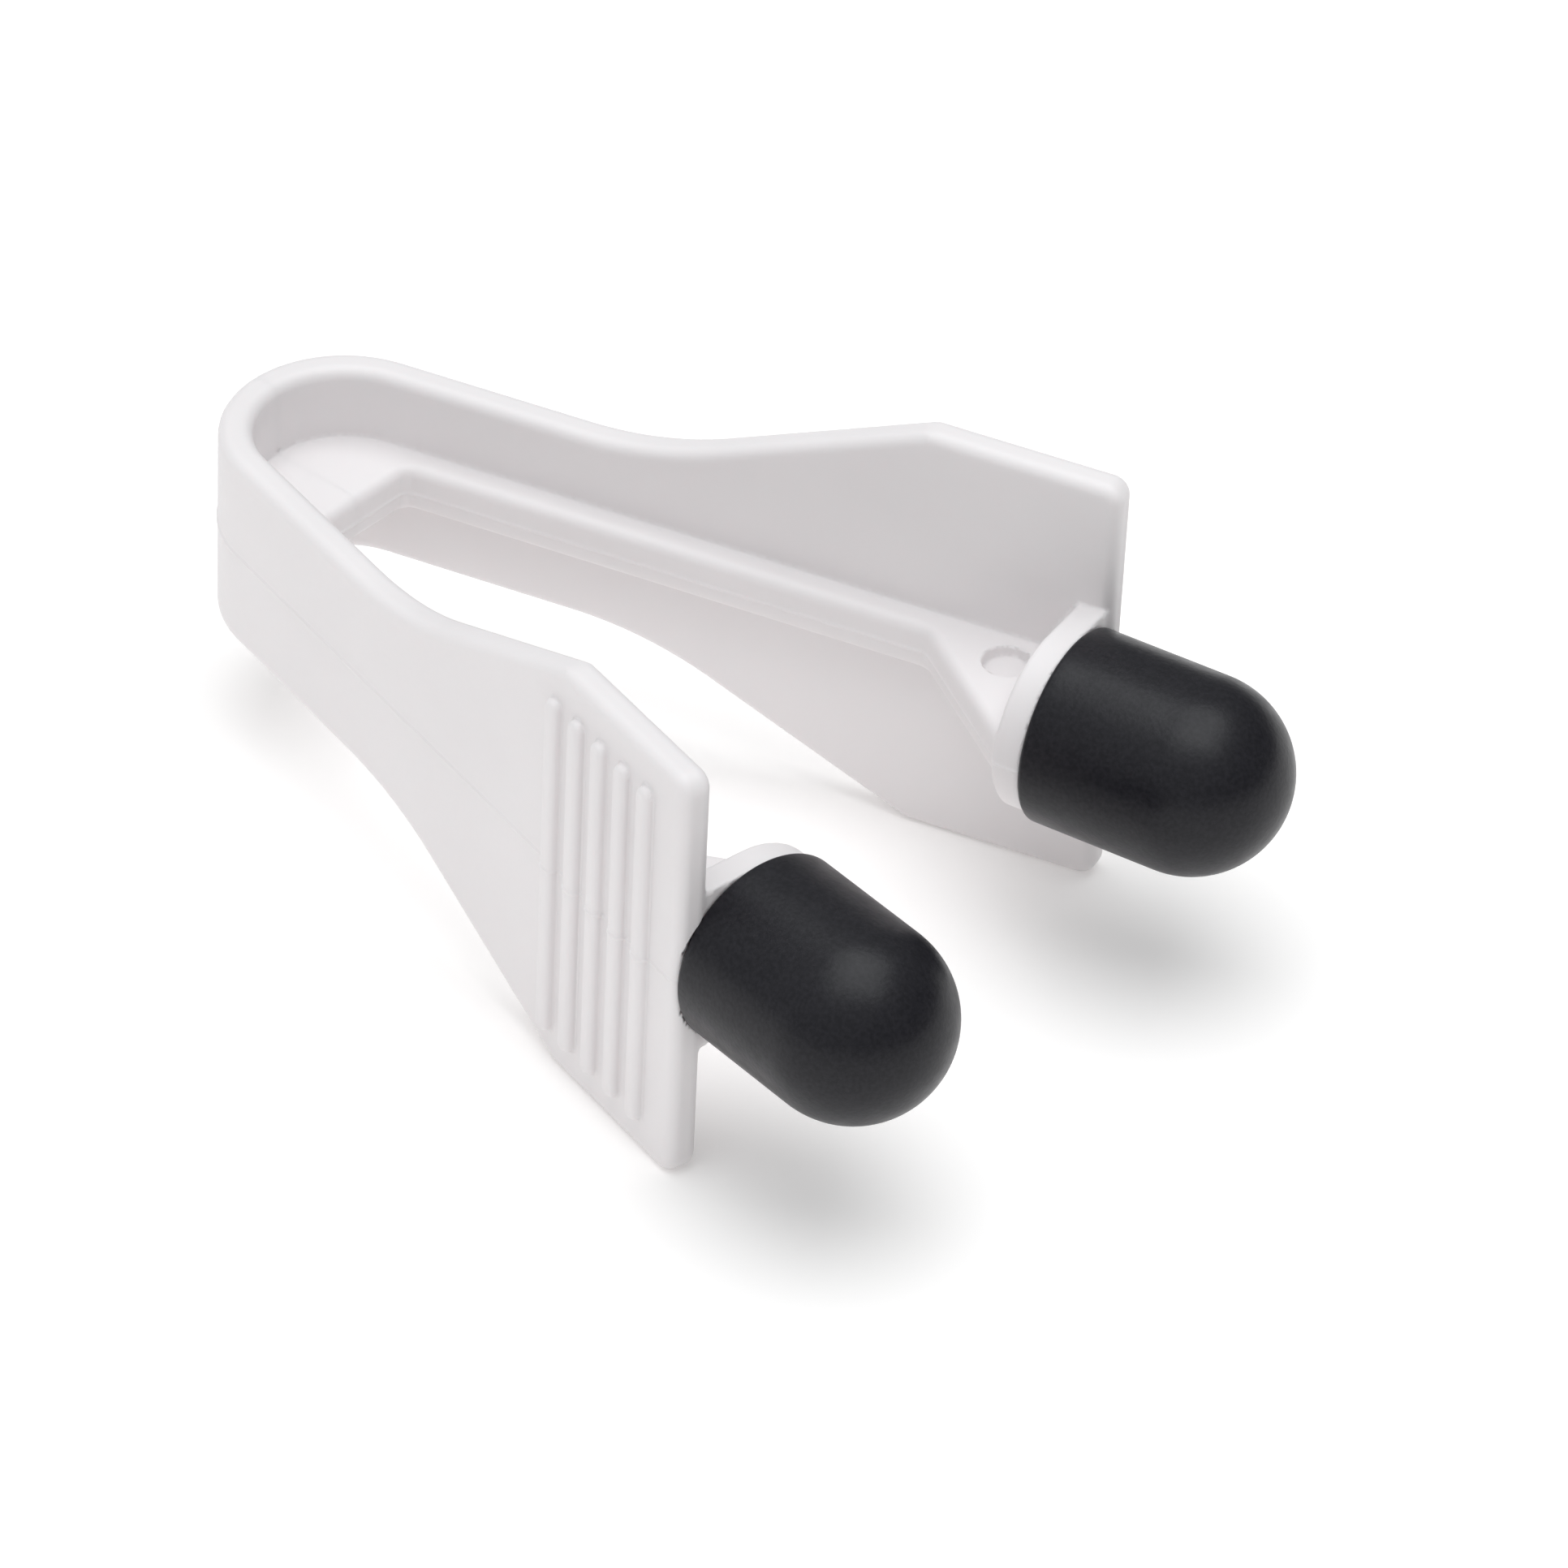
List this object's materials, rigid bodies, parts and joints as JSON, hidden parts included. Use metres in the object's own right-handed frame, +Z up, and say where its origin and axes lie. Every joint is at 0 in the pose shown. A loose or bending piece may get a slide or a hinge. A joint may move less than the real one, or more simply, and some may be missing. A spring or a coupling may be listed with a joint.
{
  "type": "squeeze latch tongs",
  "caption": "U-shaped spring tongs moulded in white plastic, with ribbed thumb paddles and rounded black rubber caps at the ends. Squeezing the paddles brings the caps together.",
  "frame": {"origin": "on the surface that the paddles stand on, under the middle of the object's bounding box", "axes": "+X towards the rubber caps, +Y towards the left arm, +Z up"},
  "size_m": [0.0694, 0.0446, 0.03],
  "materials": {
    "white_plastic": "fine matt as moulded",
    "black_rubber": "smooth satin"
  },
  "bodies": {
    "spring_bow": {"spring_bow": "white_plastic"},
    "left_arm": {"left_arm": "white_plastic", "left_cap": "black_rubber"},
    "right_arm": {"right_arm": "white_plastic", "right_cap": "black_rubber"}
  },
  "joints": [
    {"name": "left_arm_flex", "type": "hinge", "parent": "spring_bow", "child": "left_arm", "pos_m": [-0.01971, 0.00909, 0.015], "axis": [0, 0, -1], "range_deg": [-2, 11], "stiffness_Nm_per_rad": 0.55},
    {"name": "right_arm_flex", "type": "hinge", "parent": "spring_bow", "child": "right_arm", "pos_m": [-0.01971, -0.00909, 0.015], "axis": [0, 0, 1], "range_deg": [-2, 11], "stiffness_Nm_per_rad": 0.55}
  ],
  "couplings": [
    {"joint": "right_arm_flex", "follows": "left_arm_flex", "ratio": 1}
  ]
}
